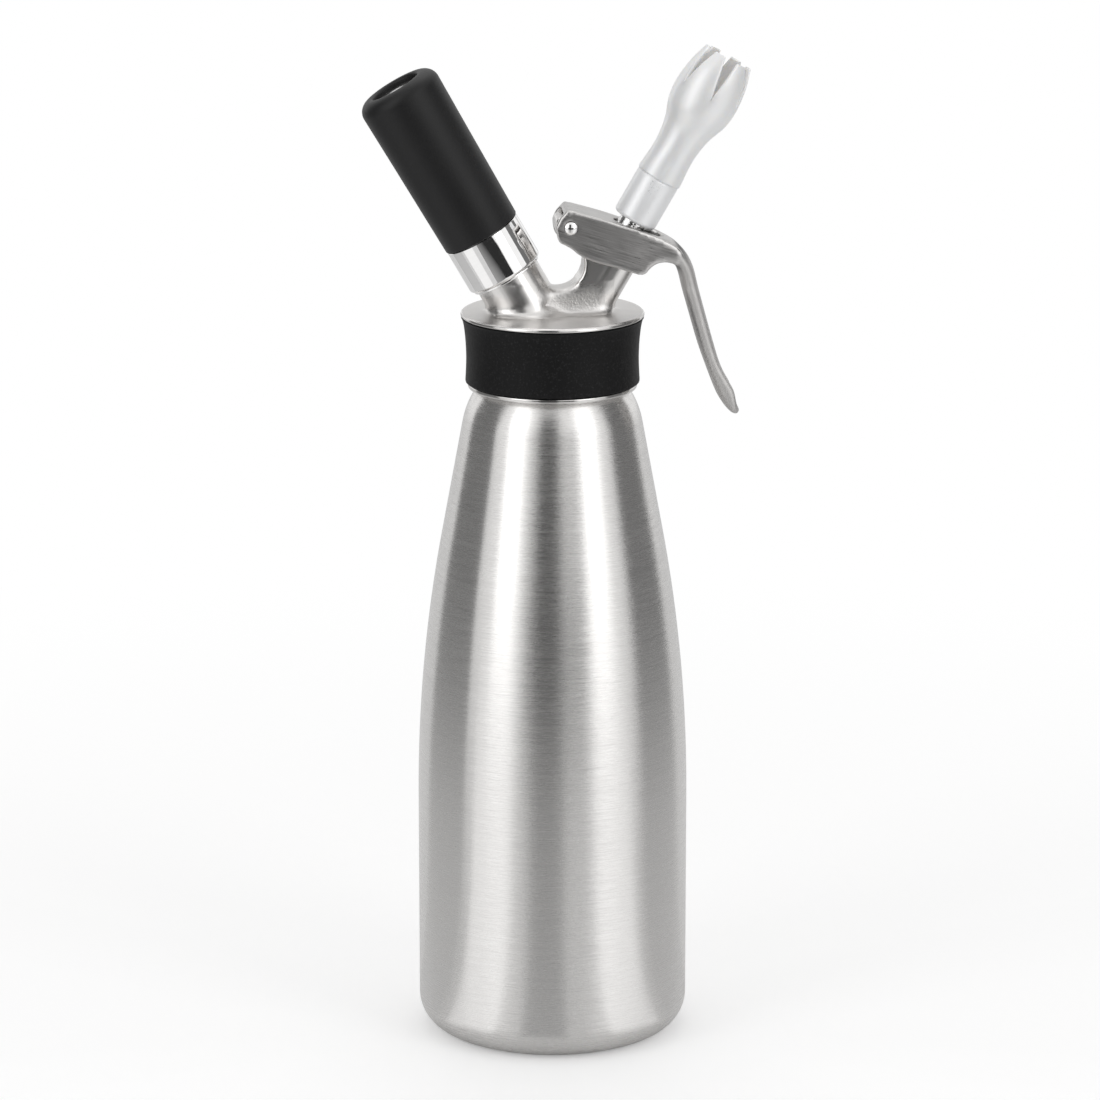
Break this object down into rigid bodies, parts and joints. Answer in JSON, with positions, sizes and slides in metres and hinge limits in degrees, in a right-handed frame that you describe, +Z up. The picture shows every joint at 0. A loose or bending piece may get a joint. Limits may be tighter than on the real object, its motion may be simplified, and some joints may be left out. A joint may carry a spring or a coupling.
{
  "type": "whipped cream dispenser",
  "caption": "Upright metal bottle with a screw-on cast head, a leaning gas charger holder, and a squeeze lever that opens the valve under a slotted tulip nozzle.",
  "frame": {"origin": "centre of the bottle's foot, on the surface it stands on", "axes": "+Z up along the bottle, +X towards the lever's tail and the nozzle, +Y across the lever, along its pin"},
  "size_m": [0.1409, 0.1, 0.3705],
  "materials": {
    "bottle_steel": "fine brushing round the bottle",
    "cast_steel": "cast and polished, turned on the disc",
    "lever_steel": "satin, brushed lengthwise",
    "polished_chrome": "mirror",
    "spring_steel": "drawn",
    "charger_steel": "galvanised",
    "valve_brass": "turned",
    "band_silicone": "matt, finely grained",
    "grip_black": "soft matt",
    "red_silicone": "matt",
    "clear_silicone": "milky",
    "cool_white": "satin",
    "pearl_white": "pearly satin"
  },
  "bodies": {
    "bottle": {"bottle": "bottle_steel"},
    "head": {"head_casting": "cast_steel", "head_gasket": "red_silicone", "silicone_band": "band_silicone", "lever_pin": "polished_chrome", "piercing_body": "valve_brass", "piercing_pin": "spring_steel", "charger_seal": "clear_silicone", "valve_guide": "valve_brass", "stem_o_ring": "band_silicone", "valve_spring": "spring_steel"},
    "lever": {"lever": "lever_steel"},
    "valve": {"valve_stem": "spring_steel", "valve_seal": "red_silicone", "valve_adapter": "polished_chrome"},
    "nozzle": {"nozzle_collar": "cool_white", "nozzle_insert": "polished_chrome", "nozzle_seal": "clear_silicone", "tulip_nozzle": "pearl_white"},
    "holder": {"holder_sleeve": "polished_chrome", "holder_grip": "grip_black", "holder_end_disc": "polished_chrome", "gas_charger": "charger_steel", "charger_cap": "charger_steel"},
    "check_valve": {"check_valve_disc": "clear_silicone"}
  },
  "joints": [
    {"name": "head_lift", "type": "slide", "parent": "bottle", "child": "head", "axis": [0, 0, 1], "range_m": [0, 0.04]},
    {"name": "lever_pivot", "type": "hinge", "parent": "head", "child": "lever", "pos_m": [0.006, 0, 0.3055], "axis": [0, 1, 0], "range_deg": [0, 8], "stiffness_Nm_per_rad": 1, "springref_deg": -11.46},
    {"name": "valve_slide", "type": "slide", "parent": "head", "child": "valve", "axis": [0.5, 0, 0.866], "range_m": [-0.002, 0], "deforming": ["valve_spring"]},
    {"name": "nozzle_lift", "type": "slide", "parent": "valve", "child": "nozzle", "axis": [0.5, 0, 0.866], "range_m": [0, 0.02]},
    {"name": "holder_lift", "type": "slide", "parent": "head", "child": "holder", "axis": [-0.5, 0, 0.866], "range_m": [0, 0.03]},
    {"name": "check_valve_lift", "type": "slide", "parent": "head", "child": "check_valve", "axis": [-0.5, 0, 0.866], "range_m": [-0.0008, 0], "stiffness_N_per_m": 5, "springref_m": 0.0006}
  ],
  "couplings": [
    {"joint": "valve_slide", "follows": "lever_pivot", "m_per_rad": -0.0136}
  ]
}
